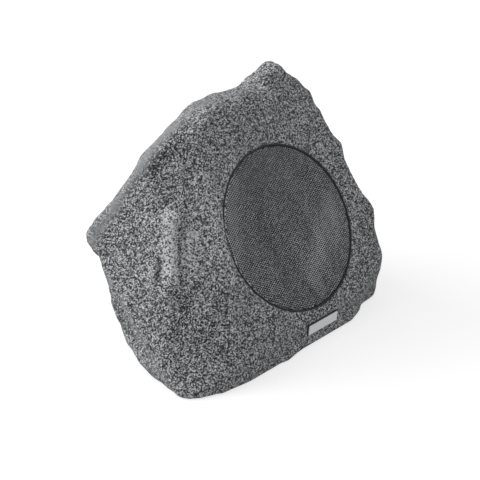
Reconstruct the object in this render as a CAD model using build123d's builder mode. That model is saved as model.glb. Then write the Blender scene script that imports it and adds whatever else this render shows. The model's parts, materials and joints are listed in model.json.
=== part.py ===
from build123d import *
import os
from math import cos, radians, sin, tan

# Rock shaped garden speaker: a hollow moulded boulder with a loudspeaker behind a round grille.
# The origin is the middle of the base, +Z is up and the grille looks towards -Y, leaning back.

# Rock, in millimetres and degrees
grille_diameter = 180
left_flank = 103
right_flank = 45
crown_rise = 68
rock_depth = 210
skirt_height = 30
skirt_undercut = 5
back_tilt = 10
crown_step = 1
face_margin = 11.5
face_lean = 30
wall = 5
body_round = 8
crown_round = 5

# Base
rim_width = 7
rim_round = 2
flange_width = 14
flange_thickness = 6
plate_thickness = 5
plate_clearance = 0.5
base_gasket_thickness = 2
base_corner_round = 4
base_screw_count = 8
base_screw_radius = 2
base_screw_length = 18
base_head_radius = 4
base_head_height = 2.2
base_head_sink = 0.3
boss_radius = 6
boss_height = 10

# Grille and its seat in the rock
gasket_show = 2
grille_seat_depth = 12
grille_sheet = 1.2
grille_shoulder = 3
grille_gasket_floor = 2
grille_gasket_drop = 1
hole_pitch = 15.6
hole_radius = 3.6
perforation_margin = 8
cloth_thickness = 0.5
fit_clearance = 0.1
hexagon_sides = 6

# Badge on the skirt
badge_width = 49
badge_height = 13.5
badge_border = 1
badge_plate_thickness = 1
badge_backing_thickness = 1.5
badge_corner_round = 0.8
badge_bevel = 0.3
badge_shift = -2.5
badge_rise = 20.3

# Loudspeaker
grille_overlap = 8
driver_well_gap = 3
well_depth = 18
driver_gasket_thickness = 2
driver_flange_thickness = 3
driver_flange_width = 10
basket_clearance = 1.5
basket_wall = 1.8
basket_cone_height = 28
basket_depth = 42
spider_land_radius = 50.5
spider_land_width = 6.5
spider_land_thickness = 2
basket_cup_wall = 2
basket_hole_radius = 24
basket_window_count = 6
basket_window_angle = 38
basket_window_height = 18
basket_window_margin = 2
driver_screw_count = 4
driver_screw_turn = 45
driver_screw_radius = 1.75
driver_screw_length = 12
driver_head_radius = 3.2
driver_head_height = 2.4
screw_ring_inset = 3.5
cone_thickness = 1.2
cone_depth = 25
cone_flare = 0.56
cone_neck_length = 3
surround_thickness = 0.8
surround_roll = 5.5
surround_lip = 3
surround_reach = 0.3
coil_inner_radius = 12.4
coil_thickness = 0.8
coil_length = 26
coil_gap = 0.6
dust_cap_radius = 20
dust_cap_rise = 6
dust_cap_thickness = 0.6
glue_gap = 0.3
spider_thickness = 0.8
spider_wave_depth = 1.6
spider_wave_count = 4
top_plate_radius = 41
top_plate_thickness = 6
magnet_radius = 45
magnet_hole_radius = 20
magnet_thickness = 16
back_plate_radius = 42
back_plate_thickness = 6
pole_vent_radius = 5
pole_drop = 0.5

# Terminal strip on the basket
strip_width = 26
strip_height = 12
strip_thickness = 2
tab_width = 4.8
tab_length = 8
tab_thickness = 0.8
tab_spacing = 13

# Cable gland through the back of the rock
gland_x = 55
gland_z = 42
gland_thread_radius = 8
gland_hex_radius = 13
gland_hex_height = 6
gland_washer_thickness = 1.5
gland_washer_radius = 12
gland_neck_radius = 7
gland_neck_length = 9
gland_cap_radius = 11.5
gland_cap_grip = 10
gland_cap_dome = 5
gland_cap_taper = 35
gland_bore_radius = 5
gland_cable_radius = 3.5
gland_nut_thickness = 5
gland_thread_spare = 2
gland_clearance = 0.15

# Line transformer and terminal block on the base plate
transformer_inset = 89
transformer_y = -40
core_width = 57
core_height = 48
core_stack = 25
core_leg = 19
winding_build = 8.5
winding_clearance = 0.3
bracket_thickness = 1.2
bracket_foot = 14
bracket_width = 20
inner_screw_radius = 1.75
inner_screw_grip = 3
inner_head_radius = 3.2
inner_head_height = 2.2
block_x = 0
block_y = 55
block_length = 44
block_width = 18
block_height = 15
block_ear = 8
block_ear_height = 4
block_round = 3
block_way_count = 4
block_way_radius = 2.6
block_way_depth = 6
blind_hole_floor = 0.6

# Worked out from the sizes above
lean = radians(face_lean)
hexagon_flat = cos(radians(180 / hexagon_sides))
grille_radius = grille_diameter / 2
rock_width = left_flank + grille_diameter + right_flank
half_width = rock_width / 2
half_depth = rock_depth / 2
face_x = -half_width + left_flank + grille_radius
face_z = skirt_height + (grille_radius + face_margin) * cos(lean)
face_y = -half_depth + (face_z - skirt_height) * tan(lean)
rock_height = face_z + grille_radius * cos(lean) + crown_rise
recess_radius = grille_radius + gasket_show
driver_radius = grille_radius - grille_overlap
basket_radius = driver_radius - driver_flange_width
well_radius = driver_radius + driver_well_gap
collar_radius = recess_radius + wall
collar_depth = well_depth + wall
flange_under = plate_thickness + base_gasket_thickness
flange_top = flange_under + flange_thickness
transformer_x = transformer_inset - half_width

# The face plane carries the grille: its X is the rock's X, its Y runs up the face, its Z points out.
face = Plane(origin=(face_x, face_y, face_z), x_dir=(1, 0, 0), z_dir=(0, -cos(lean), sin(lean)))
driver_axis = Axis(face.origin, face.z_dir)
section = Plane(origin=face.origin, x_dir=face.x_dir, z_dir=face.y_dir * -1)


def at_share(across, along, up):
    """Point at these shares of the half width, the half depth and the height."""
    return (across * half_width, along * half_depth, up * rock_height)


# Facets of the rock: azimuth and tilt of the outward normal in degrees, then a point of the plane
# as shares of the half width, the half depth and the height.
face_facet = (-90, face_lean, (face_x, face_y, face_z))
right_facet = (0, 11, at_share(0.895, -0.24, 0.635))
right_high_facet = (0, 36, at_share(0.825, 0.05, 0.835))
back_facet = (90, back_tilt, at_share(0, 1, 0))
back_right_facet = (40, 5, at_share(0.795, 0.665, 0.15))
back_high_facet = (100, 30, at_share(0, 0.82, 0.72))
body_facets = [
    face_facet,
    right_facet,
    right_high_facet,
    back_facet,
    back_right_facet,
    back_high_facet,
    (-90, -skirt_undercut, (0, -half_depth, skirt_height)),
    (-132, 33, at_share(-0.56, -0.29, 0.49)),
    (-158, 29, at_share(-0.745, 0, 0.49)),
    (-128, 6, at_share(-0.855, -0.875, 0)),
    (166, -11, at_share(-0.94, -0.36, 0)),
    (140, -50, at_share(-0.87, 0.27, 0.1)),
    (172, 50, at_share(-0.685, 0.525, 0.705)),
    (165, 66, at_share(-0.28, 0.525, 0.865)),
    (70, 85, at_share(0, 0.475, 0.925)),
    (0, -10, at_share(0.975, -0.64, 0.365)),
    (-72, -11, at_share(0.67, -0.875, 0)),
    (130, -17, at_share(-0.945, 0.57, 0.505)),
    (120, 34, at_share(-0.78, 0.475, 0.66)),
]


def facet_plane(azimuth, tilt, point, inset):
    turn = radians(azimuth)
    rise = radians(tilt)
    normal = Vector(cos(rise) * cos(turn), cos(rise) * sin(turn), sin(rise))
    return Plane(origin=Vector(*point) - normal * inset, z_dir=normal)


def moved_in(facet, distance):
    azimuth, tilt, point = facet
    return (azimuth, tilt, tuple(facet_plane(azimuth, tilt, point, distance).origin))


# The crown stands on the body's right end and keeps just inside the body's own sides.
crown_floor = 0.72 * rock_height
crown_sides = [face_facet, right_facet, back_facet, back_right_facet, back_high_facet]
crown_facets = [moved_in(facet, crown_step) for facet in crown_sides] + [
    (172, 62, at_share(0.52, 0.38, 0.96)),
    (-8, 41, at_share(0.67, 0.21, 0.955)),
    (110, 74, at_share(0.59, 0.36, 0.995)),
    (190, 10, at_share(0.415, 0.475, 0.915)),
]


def stone(facets, inset, floor):
    """Block of stone with every facet split off, each facet moved inwards by the inset."""
    with BuildPart(Plane.XY.offset(floor)) as block:
        Box(2 * rock_width, 2 * rock_depth, 2 * rock_height, align=(Align.CENTER, Align.CENTER, Align.MIN))
        for azimuth, tilt, point in facets:
            split(bisect_by=facet_plane(azimuth, tilt, point, inset), keep=Keep.BOTTOM)
    return block.part


def worn_stone(facets, radius, floor):
    """The same stone with every edge worn round by the radius and its facets where they were."""
    core = stone(facets, radius, floor + radius)
    with BuildPart() as worn:
        add(core)
        offset(amount=radius, kind=Kind.ARC)
    return worn.part


footprint = stone(body_facets, 0, 0).faces().sort_by(Axis.Z)[0]


def base_outline(inset):
    """Outline of the rock on the ground, moved inwards by the inset, with rounded corners."""
    with BuildSketch() as outline:
        with BuildLine():
            add(footprint.outer_wire())
        make_face()
        offset(amount=-inset, kind=Kind.INTERSECTION)
        fillet(outline.vertices(), radius=base_corner_round)
    return outline.sketch


def profile(*points):
    """Half section of a turned piece, from points given as radius and depth behind the face."""
    with BuildSketch(section) as outline:
        with BuildLine():
            Polyline(*[(radius, -depth) for radius, depth in points], close=True)
        make_face()
    return outline.sketch


def ring(inner, outer, front, back):
    return profile((inner, front), (outer, front), (outer, back), (inner, back))


def pan_screw(seat, shank_radius, shank_length, head_radius, head_height):
    """Screw whose head stands on the seat plane and whose shank goes down through it."""
    with BuildPart(seat) as screw:
        Cylinder(head_radius, head_height, align=(Align.CENTER, Align.CENTER, Align.MIN))
        fillet(screw.edges().sort_by(Axis(seat.origin, seat.z_dir))[-1], radius=head_height / 2)
        Cylinder(shank_radius, shank_length, align=(Align.CENTER, Align.CENTER, Align.MAX))
    return screw.part


screw_path = base_outline(rim_width + flange_width / 2).wire()
base_screw_points = [
    screw_path.position_at(screw_path.length * (index + 0.5) / base_screw_count, PositionMode.LENGTH)
    for index in range(base_screw_count)
]


def finish(piece, name):
    """Name a finished piece and write it."""
    piece.part.label = name
    export_step(piece.part, f"parts/{name}.step")


os.makedirs("parts", exist_ok=True)

# Rock shell: a body and a crown worn round and grown together, hollow, with a collar for the loudspeaker
body = worn_stone(body_facets, body_round, -2 * body_round)
crown = worn_stone(crown_facets, crown_round, crown_floor)
hollow_body = stone(body_facets, wall, flange_top)
hollow_crown = stone(crown_facets, wall, crown_floor)

with BuildPart() as cavity:
    add([hollow_body, hollow_crown])
    with BuildSketch(face):
        Circle(collar_radius)
    extrude(amount=-collar_depth, mode=Mode.SUBTRACT)
    with BuildSketch(Plane.XY.offset(flange_top)):
        with Locations(*base_screw_points):
            Circle(boss_radius)
    extrude(amount=boss_height, mode=Mode.SUBTRACT)

gland_y = half_depth - gland_z * tan(radians(back_tilt))
gland_seat = Plane(
    origin=(gland_x, gland_y, gland_z),
    x_dir=(-1, 0, 0),
    z_dir=(0, cos(radians(back_tilt)), sin(radians(back_tilt))),
)
driver_screw_ring = driver_radius - screw_ring_inset
base_pilot_depth = base_screw_length + base_head_sink + glue_gap

with BuildPart() as rock_shell:
    add([body, crown])
    split(bisect_by=Plane.XY, keep=Keep.TOP)
    fillet(rock_shell.edges().group_by(Axis.Z)[0], radius=rim_round)
    add(cavity.part, mode=Mode.SUBTRACT)
    extrude(base_outline(rim_width), amount=flange_under, mode=Mode.SUBTRACT)
    extrude(base_outline(rim_width + flange_width), amount=flange_top, mode=Mode.SUBTRACT)
    with BuildSketch(face.offset(wall)):
        Circle(recess_radius)
    extrude(amount=-wall - grille_seat_depth, mode=Mode.SUBTRACT)
    with BuildSketch(face.offset(-grille_seat_depth)):
        Circle(well_radius)
    extrude(amount=grille_seat_depth - well_depth, mode=Mode.SUBTRACT)
    with BuildSketch(face.offset(-well_depth)):
        Circle(basket_radius + basket_clearance)
        with PolarLocations(driver_screw_ring, driver_screw_count, start_angle=driver_screw_turn):
            Circle(driver_screw_radius + fit_clearance)
    extrude(amount=-wall, mode=Mode.SUBTRACT)
    with BuildSketch(Plane.XY):
        with Locations(*base_screw_points):
            Circle(base_screw_radius + fit_clearance)
    extrude(amount=base_pilot_depth, mode=Mode.SUBTRACT)
    with BuildSketch(gland_seat):
        Circle(gland_thread_radius + gland_clearance)
    extrude(amount=-2 * wall, mode=Mode.SUBTRACT)
finish(rock_shell, "rock_shell")

# Where the transformer and the terminal block are screwed to the base plate
bracket_reach = core_width / 2 + bracket_thickness + bracket_foot / 2
transformer_points = [(transformer_x + side * bracket_reach, transformer_y) for side in (-1, 1)]
block_reach = (block_length + block_ear) / 2
block_points = [(block_x + side * block_reach, block_y) for side in (-1, 1)]

# Base plate, its gasket and the countersunk screws that close the rock from below
head_top = base_head_sink + base_head_height

with BuildPart() as base_plate:
    extrude(base_outline(rim_width + plate_clearance), amount=plate_thickness)
    for point in base_screw_points:
        with Locations((point.X, point.Y, 0)):
            Cylinder(
                base_screw_radius + fit_clearance,
                plate_thickness,
                align=(Align.CENTER, Align.CENTER, Align.MIN),
                mode=Mode.SUBTRACT,
            )
            Cone(
                base_head_radius + fit_clearance + base_head_sink,
                base_screw_radius + fit_clearance,
                head_top,
                align=(Align.CENTER, Align.CENTER, Align.MIN),
                mode=Mode.SUBTRACT,
            )
    with BuildSketch(Plane.XY.offset(plate_thickness)):
        with Locations(*transformer_points, *block_points):
            Circle(inner_screw_radius + fit_clearance)
    extrude(amount=blind_hole_floor - plate_thickness, mode=Mode.SUBTRACT)
finish(base_plate, "base_plate")

with BuildPart() as base_gasket:
    with BuildSketch(Plane.XY.offset(plate_thickness)):
        add(base_outline(rim_width + plate_clearance))
        add(base_outline(rim_width + flange_width), mode=Mode.SUBTRACT)
        with Locations(*base_screw_points):
            Circle(base_screw_radius + plate_clearance, mode=Mode.SUBTRACT)
    extrude(amount=base_gasket_thickness)
finish(base_gasket, "base_gasket")

with BuildPart() as base_screws:
    for point in base_screw_points:
        with Locations((point.X, point.Y, base_head_sink)):
            Cylinder(base_screw_radius, base_screw_length, align=(Align.CENTER, Align.CENTER, Align.MIN))
            Cone(
                base_head_radius,
                base_screw_radius,
                base_head_height,
                align=(Align.CENTER, Align.CENTER, Align.MIN),
            )
finish(base_screws, "base_screws")

# Grille: a pressed sheet with a turned back rim, perforated in staggered rows
rim_back = grille_seat_depth - grille_gasket_floor
row_step = hole_pitch * hexagon_flat
perforated_radius = grille_radius - perforation_margin - hole_radius
row_count = int(perforated_radius / row_step)
hole_count = int(2 * perforated_radius / hole_pitch)
hole_points = []
for row in range(-row_count, row_count + 1):
    for place in range(-hole_count, hole_count + 1):
        hole_point = Vector((place + 0.5 * (row % 2)) * hole_pitch, row * row_step)
        if hole_point.length <= perforated_radius:
            hole_points.append(hole_point)

with BuildPart() as grille:
    with BuildSketch(face.offset(-rim_back)):
        Circle(grille_radius)
    extrude(amount=rim_back)
    fillet(grille.edges().sort_by(driver_axis)[-1], radius=grille_shoulder)
    with BuildSketch(face.offset(-rim_back)):
        Circle(grille_radius - grille_sheet)
    extrude(amount=rim_back - grille_sheet, mode=Mode.SUBTRACT)
    with BuildSketch(face):
        with Locations(*hole_points):
            RegularPolygon(hole_radius, hexagon_sides)
    extrude(amount=-2 * grille_sheet, mode=Mode.SUBTRACT)
finish(grille, "grille")

with BuildPart() as grille_gasket:
    inner_lip = well_radius + glue_gap
    outer_lip = recess_radius - fit_clearance
    rim_lip = grille_radius + fit_clearance
    revolve(
        profile(
            (inner_lip, rim_back),
            (rim_lip, rim_back),
            (rim_lip, grille_gasket_drop),
            (outer_lip, grille_gasket_drop),
            (outer_lip, grille_seat_depth),
            (inner_lip, grille_seat_depth),
        ),
        axis=driver_axis,
    )
finish(grille_gasket, "grille_gasket")

with BuildPart() as grille_cloth:
    with BuildSketch(face.offset(-grille_sheet)):
        Circle(grille_radius - grille_sheet - grille_shoulder)
    extrude(amount=-cloth_thickness)
finish(grille_cloth, "grille_cloth")

# Badge: a bare metal plate on a black backing, glued to the skirt under the grille
undercut = radians(skirt_undercut)
badge_seat = Plane(
    origin=(face_x + badge_shift, (skirt_height - badge_rise) * tan(undercut) - half_depth, badge_rise),
    x_dir=(1, 0, 0),
    z_dir=(0, -cos(undercut), -sin(undercut)),
)

with BuildPart() as badge_backing:
    with BuildSketch(badge_seat):
        RectangleRounded(badge_width, badge_height, badge_corner_round)
    extrude(amount=badge_backing_thickness)
finish(badge_backing, "badge_backing")

with BuildPart() as badge_plate:
    with BuildSketch(badge_seat.offset(badge_backing_thickness)):
        RectangleRounded(badge_width - 2 * badge_border, badge_height - 2 * badge_border, badge_corner_round)
    extrude(amount=badge_plate_thickness)
    chamfer(badge_plate.faces().sort_by(Axis(badge_seat.origin, badge_seat.z_dir))[-1].edges(), badge_bevel)
finish(badge_plate, "badge_plate")

# Loudspeaker basket: flange, windowed cone, land for the spider and a cup on the magnet
flange_back = well_depth - driver_gasket_thickness
flange_front = flange_back - driver_flange_thickness
land_back = flange_back + basket_cone_height + spider_land_thickness + basket_wall
land_front = land_back - spider_land_thickness
cup_radius = spider_land_radius - spider_land_width
cup_back = flange_back + basket_depth
basket_neck = flange_back + basket_wall

with BuildPart() as driver_basket:
    revolve(
        profile(
            (driver_radius, flange_front),
            (driver_radius, flange_back),
            (basket_radius, flange_back),
            (basket_radius, basket_neck + basket_wall),
            (spider_land_radius, land_front - basket_wall),
            (spider_land_radius, land_back),
            (cup_radius, land_back),
            (cup_radius, cup_back),
            (basket_hole_radius, cup_back),
            (basket_hole_radius, cup_back - basket_cup_wall),
            (cup_radius - basket_cup_wall, cup_back - basket_cup_wall),
            (cup_radius - basket_cup_wall, land_front),
            (spider_land_radius - basket_wall, land_front),
            (spider_land_radius - basket_wall, land_front - basket_wall),
            (basket_radius - basket_wall, basket_neck),
            (basket_radius - basket_wall, flange_front),
        ),
        axis=driver_axis,
    )
    for index in range(basket_window_count):
        window_plane = section.rotated((0, index * 360 / basket_window_count, 0))
        window_back = land_front - basket_wall - basket_window_margin
        with BuildSketch(window_plane):
            with Locations((spider_land_radius, -window_back)):
                Rectangle(basket_radius, basket_window_height, align=(Align.CENTER, Align.MIN))
        revolve(axis=driver_axis, revolution_arc=basket_window_angle, mode=Mode.SUBTRACT)
    with BuildSketch(face.offset(-flange_front)):
        with PolarLocations(driver_screw_ring, driver_screw_count, start_angle=driver_screw_turn):
            Circle(driver_screw_radius + fit_clearance)
    extrude(amount=-driver_flange_thickness, mode=Mode.SUBTRACT)
finish(driver_basket, "driver_basket")

with BuildPart() as driver_gasket:
    with BuildSketch(face.offset(-well_depth)):
        Circle(driver_radius)
        Circle(basket_radius + basket_clearance, mode=Mode.SUBTRACT)
        with PolarLocations(driver_screw_ring, driver_screw_count, start_angle=driver_screw_turn):
            Circle(driver_screw_radius + fit_clearance, mode=Mode.SUBTRACT)
    extrude(amount=driver_gasket_thickness)
finish(driver_gasket, "driver_gasket")

driver_screw_seats = [
    Plane(location)
    for location in face.offset(-flange_front)
    * PolarLocations(driver_screw_ring, driver_screw_count, start_angle=driver_screw_turn)
]
driver_screw_set = [
    pan_screw(seat, driver_screw_radius, driver_screw_length, driver_head_radius, driver_head_height)
    for seat in driver_screw_seats
]
with BuildPart() as driver_screws:
    add(driver_screw_set)
finish(driver_screws, "driver_screws")

# Moving parts of the loudspeaker
coil_radius = coil_inner_radius + coil_thickness
neck_radius = coil_radius + fit_clearance
roll_outer = basket_radius + surround_reach - surround_lip
roll_inner = roll_outer - 2 * surround_roll
cone_radius = roll_inner - glue_gap
cone_front = flange_front + glue_gap + fit_clearance
cone_back = cone_front + cone_depth
cone_middle_radius = (cone_radius + neck_radius) / 2
cone_middle = cone_front + cone_depth * cone_flare

with BuildPart() as cone:
    revolve(
        profile(
            (cone_radius, cone_front),
            (cone_middle_radius, cone_middle),
            (neck_radius, cone_back),
            (neck_radius, cone_back + cone_neck_length),
            (neck_radius + cone_thickness, cone_back + cone_neck_length),
            (neck_radius + cone_thickness, cone_back + cone_thickness),
            (cone_middle_radius, cone_middle + cone_thickness),
            (cone_radius, cone_front + cone_thickness),
        ),
        axis=driver_axis,
    )
finish(cone, "cone")

cap_share = (cone_middle_radius - dust_cap_radius) / (cone_middle_radius - neck_radius)
cap_back = cone_middle + cap_share * (cone_back - cone_middle) - glue_gap

with BuildPart() as dust_cap:
    with BuildSketch(section):
        with BuildLine():
            apex = dust_cap_rise - cap_back
            cap_inner_radius = dust_cap_radius - dust_cap_thickness
            outside = TangentArc((0, apex), (dust_cap_radius, -cap_back), tangent=(1, 0))
            inside = TangentArc((0, apex - dust_cap_thickness), (cap_inner_radius, -cap_back), tangent=(1, 0))
            Line(outside @ 0, inside @ 0)
            Line(outside @ 1, inside @ 1)
        make_face()
    revolve(axis=driver_axis)
finish(dust_cap, "dust_cap")

coil_front = cone_back - coil_thickness

with BuildPart() as voice_coil:
    revolve(ring(coil_inner_radius, coil_radius, coil_front, coil_front + coil_length), axis=driver_axis)
finish(voice_coil, "voice_coil")

# Surround: a half roll between the cone's edge and the flange, with a flat lip on each side
lip_back = -flange_front
lip_front = surround_thickness - flange_front

with BuildPart() as surround:
    with BuildSketch(section):
        with BuildLine():
            Polyline(
                (roll_inner, lip_front),
                (roll_inner - surround_lip, lip_front),
                (roll_inner - surround_lip, lip_back),
                (roll_inner + surround_thickness, lip_back),
            )
            ThreePointArc(
                (roll_inner + surround_thickness, lip_back),
                (roll_inner + surround_roll, lip_back + surround_roll - surround_thickness),
                (roll_outer - surround_thickness, lip_back),
            )
            Polyline(
                (roll_outer - surround_thickness, lip_back),
                (roll_outer + surround_lip, lip_back),
                (roll_outer + surround_lip, lip_front),
                (roll_outer, lip_front),
            )
            ThreePointArc(
                (roll_outer, lip_front),
                (roll_inner + surround_roll, lip_front + surround_roll),
                (roll_inner, lip_front),
            )
        make_face()
    revolve(axis=driver_axis)
finish(surround, "surround")

# Spider: a corrugated disc from the coil to its land in the basket
spider_inner = coil_radius + glue_gap
spider_outer = spider_land_radius - basket_wall - glue_gap
spider_flat = spider_land_width - basket_wall
wave_outer = spider_outer - spider_flat
wave_width = (wave_outer - spider_inner) / (2 * spider_wave_count + 1)
wave_points = [(spider_inner, land_front)]
for index in range(spider_wave_count):
    start = spider_inner + (2 * index + 1) * wave_width
    wave_points.append((start, land_front))
    wave_points.append((start + wave_width / 2, land_front - spider_wave_depth))
    wave_points.append((start + wave_width, land_front))
wave_points.append((spider_outer, land_front))

with BuildPart() as spider:
    front_points = [(radius, depth - spider_thickness) for radius, depth in reversed(wave_points)]
    revolve(profile(*wave_points, *front_points), axis=driver_axis)
finish(spider, "spider")

# Magnet system: top plate, ring magnet and back plate with its vented pole
top_back = cup_back + top_plate_thickness
magnet_back = top_back + magnet_thickness
pole_radius = coil_inner_radius - coil_gap
pole_front = cup_back + pole_drop

with BuildPart() as top_plate:
    revolve(ring(coil_radius + coil_gap, top_plate_radius, cup_back, top_back), axis=driver_axis)
finish(top_plate, "top_plate")

with BuildPart() as magnet:
    revolve(ring(magnet_hole_radius, magnet_radius, top_back, magnet_back), axis=driver_axis)
finish(magnet, "magnet")

with BuildPart() as back_plate:
    revolve(
        profile(
            (pole_vent_radius, pole_front),
            (pole_radius, pole_front),
            (pole_radius, magnet_back),
            (back_plate_radius, magnet_back),
            (back_plate_radius, magnet_back + back_plate_thickness),
            (pole_vent_radius, magnet_back + back_plate_thickness),
        ),
        axis=driver_axis,
    )
finish(back_plate, "back_plate")

# Terminal strip: a board riveted under the spider land, with two solder tabs
strip_inner = cup_radius + glue_gap

with BuildPart() as terminal_strip:
    with BuildSketch(face.offset(-land_back)):
        with Locations((0, strip_inner)):
            Rectangle(strip_width, strip_height, align=(Align.CENTER, Align.MIN))
    extrude(amount=-strip_thickness)
finish(terminal_strip, "terminal_strip")

with BuildPart() as terminal_tabs:
    with BuildSketch(face.offset(-land_back - strip_thickness)):
        with Locations((0, strip_inner + strip_height - tab_width)):
            with GridLocations(tab_spacing, 0, 2, 1):
                Rectangle(tab_width, tab_thickness)
    extrude(amount=-tab_length)
finish(terminal_tabs, "terminal_tabs")

# Cable gland through the back of the rock: washer, body, seal, cap and lock nut
gland_hex_top = gland_washer_thickness + gland_hex_height
gland_neck_top = gland_hex_top + gland_neck_length
gland_thread_length = gland_washer_thickness + wall + gland_nut_thickness + gland_thread_spare
cap_foot = gland_hex_top + glue_gap
cap_ceiling = gland_neck_top + glue_gap

with BuildPart() as gland_washer:
    with BuildSketch(gland_seat):
        Circle(gland_washer_radius)
        Circle(gland_thread_radius + gland_clearance, mode=Mode.SUBTRACT)
    extrude(amount=gland_washer_thickness)
finish(gland_washer, "gland_washer")

with BuildPart() as gland_body:
    with BuildSketch(gland_seat.offset(gland_washer_thickness)):
        RegularPolygon(gland_hex_radius, hexagon_sides)
    extrude(amount=gland_hex_height)
    with BuildSketch(gland_seat.offset(gland_washer_thickness)):
        Circle(gland_thread_radius)
    extrude(amount=-gland_thread_length)
    with BuildSketch(gland_seat.offset(gland_hex_top)):
        Circle(gland_neck_radius)
    extrude(amount=gland_neck_length)
    with BuildSketch(gland_seat.offset(gland_neck_top)):
        Circle(gland_bore_radius)
    extrude(amount=-gland_thread_length - gland_hex_height - gland_neck_length, mode=Mode.SUBTRACT)
finish(gland_body, "gland_body")

with BuildPart() as gland_seal:
    with BuildSketch(gland_seat.offset(gland_neck_top)):
        Circle(gland_bore_radius - fit_clearance)
        Circle(gland_cable_radius, mode=Mode.SUBTRACT)
    extrude(amount=-gland_neck_length)
finish(gland_seal, "gland_seal")

with BuildPart() as gland_cap:
    with BuildSketch(gland_seat.offset(cap_foot)):
        RegularPolygon(gland_cap_radius, hexagon_sides)
    extrude(amount=gland_cap_grip)
    with BuildSketch(gland_seat.offset(cap_foot + gland_cap_grip)):
        Circle(gland_cap_radius * hexagon_flat)
    extrude(amount=gland_cap_dome, taper=gland_cap_taper)
    with BuildSketch(gland_seat.offset(cap_foot)):
        Circle(gland_neck_radius + gland_clearance)
    extrude(amount=cap_ceiling - cap_foot, mode=Mode.SUBTRACT)
    with BuildSketch(gland_seat.offset(cap_foot)):
        Circle(gland_cable_radius + glue_gap)
    extrude(amount=gland_cap_grip + gland_cap_dome, mode=Mode.SUBTRACT)
finish(gland_cap, "gland_cap")

with BuildPart() as gland_lock_nut:
    with BuildSketch(gland_seat.offset(-wall)):
        RegularPolygon(gland_hex_radius, hexagon_sides)
        Circle(gland_thread_radius + gland_clearance, mode=Mode.SUBTRACT)
    extrude(amount=-gland_nut_thickness)
finish(gland_lock_nut, "gland_lock_nut")

# Line transformer on the base plate: laminated core, winding, strap bracket and its screws
core_window = core_leg / 2
core_foot = (transformer_x, transformer_y, plate_thickness)
core_plane = Plane(origin=core_foot, x_dir=(1, 0, 0), z_dir=(0, -1, 0))
winding_plane = Plane(origin=core_foot).offset(core_window + winding_clearance)
winding_hole_x = core_leg + 2 * winding_clearance
winding_hole_y = core_stack + 2 * winding_clearance
winding_x = winding_hole_x + 2 * winding_build
winding_y = winding_hole_y + 2 * winding_build

with BuildPart() as transformer_core:
    with BuildSketch(core_plane):
        Rectangle(core_width, core_height, align=(Align.CENTER, Align.MIN))
        with Locations((0, core_height / 2)):
            with GridLocations(core_leg + core_window, 0, 2, 1):
                Rectangle(core_window, core_height - 2 * core_window, mode=Mode.SUBTRACT)
    extrude(amount=core_stack / 2, both=True)
finish(transformer_core, "transformer_core")

with BuildPart() as transformer_winding:
    with BuildSketch(winding_plane):
        RectangleRounded(winding_x, winding_y, winding_build)
        Rectangle(winding_hole_x, winding_hole_y, mode=Mode.SUBTRACT)
    extrude(amount=core_height - 2 * core_window - 2 * winding_clearance)
finish(transformer_winding, "transformer_winding")

with BuildPart() as transformer_bracket:
    with BuildSketch(core_plane):
        Rectangle(
            core_width + 2 * bracket_thickness,
            core_height + bracket_thickness,
            align=(Align.CENTER, Align.MIN),
        )
        Rectangle(
            core_width + 2 * (bracket_thickness + bracket_foot),
            bracket_thickness,
            align=(Align.CENTER, Align.MIN),
        )
        Rectangle(core_width, core_height, align=(Align.CENTER, Align.MIN), mode=Mode.SUBTRACT)
    extrude(amount=bracket_width / 2, both=True)
    with BuildSketch(Plane.XY.offset(plate_thickness)):
        with Locations(*transformer_points):
            Circle(inner_screw_radius + fit_clearance)
    extrude(amount=bracket_thickness, mode=Mode.SUBTRACT)
finish(transformer_bracket, "transformer_bracket")


def inner_screws(points, thickness):
    """Screws that hold a piece of this thickness on the base plate."""
    seats = [Plane(origin=(x, y, plate_thickness + thickness)) for x, y in points]
    length = thickness + inner_screw_grip
    return [
        pan_screw(seat, inner_screw_radius, length, inner_head_radius, inner_head_height)
        for seat in seats
    ]


transformer_screw_set = inner_screws(transformer_points, bracket_thickness)
with BuildPart() as transformer_screws:
    add(transformer_screw_set)
finish(transformer_screws, "transformer_screws")

# Terminal block: a moulded strip with a well for each way and an ear at each end
with BuildPart() as terminal_block:
    with BuildSketch(Plane.XY.offset(plate_thickness)):
        with Locations((block_x, block_y)):
            RectangleRounded(block_length + 2 * block_ear, block_width, block_round)
        with Locations(*block_points):
            Circle(inner_screw_radius + fit_clearance, mode=Mode.SUBTRACT)
    extrude(amount=block_ear_height)
    with BuildSketch(Plane.XY.offset(plate_thickness)):
        with Locations((block_x, block_y)):
            Rectangle(block_length, block_width)
    extrude(amount=block_height)
    with BuildSketch(Plane.XY.offset(plate_thickness + block_height)):
        with Locations((block_x, block_y)):
            with GridLocations(block_length / block_way_count, 0, block_way_count, 1):
                Circle(block_way_radius)
    extrude(amount=-block_way_depth, mode=Mode.SUBTRACT)
finish(terminal_block, "terminal_block")

block_screw_set = inner_screws(block_points, block_ear_height)
with BuildPart() as terminal_block_screws:
    add(block_screw_set)
finish(terminal_block_screws, "terminal_block_screws")
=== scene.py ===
# %% [markdown]
# # A rock shaped garden speaker
# The real one is a hollow boulder, moulded in resin with a granite finish. A round perforated grille
# lies flush in its leaning face, a thin black gasket runs round the grille, and a small bare plate sits
# on the skirt below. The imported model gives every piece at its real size, in metres. This lesson
# gives each surface its finish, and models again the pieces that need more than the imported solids: the
# boulder, the grille, the black ring round it, and the rubber surround that carries the moving cone.

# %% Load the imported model
import json
from math import cos, hypot, pi, radians, sin

import bpy
from mathutils import Matrix, Vector
from mathutils.kdtree import KDTree

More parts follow.
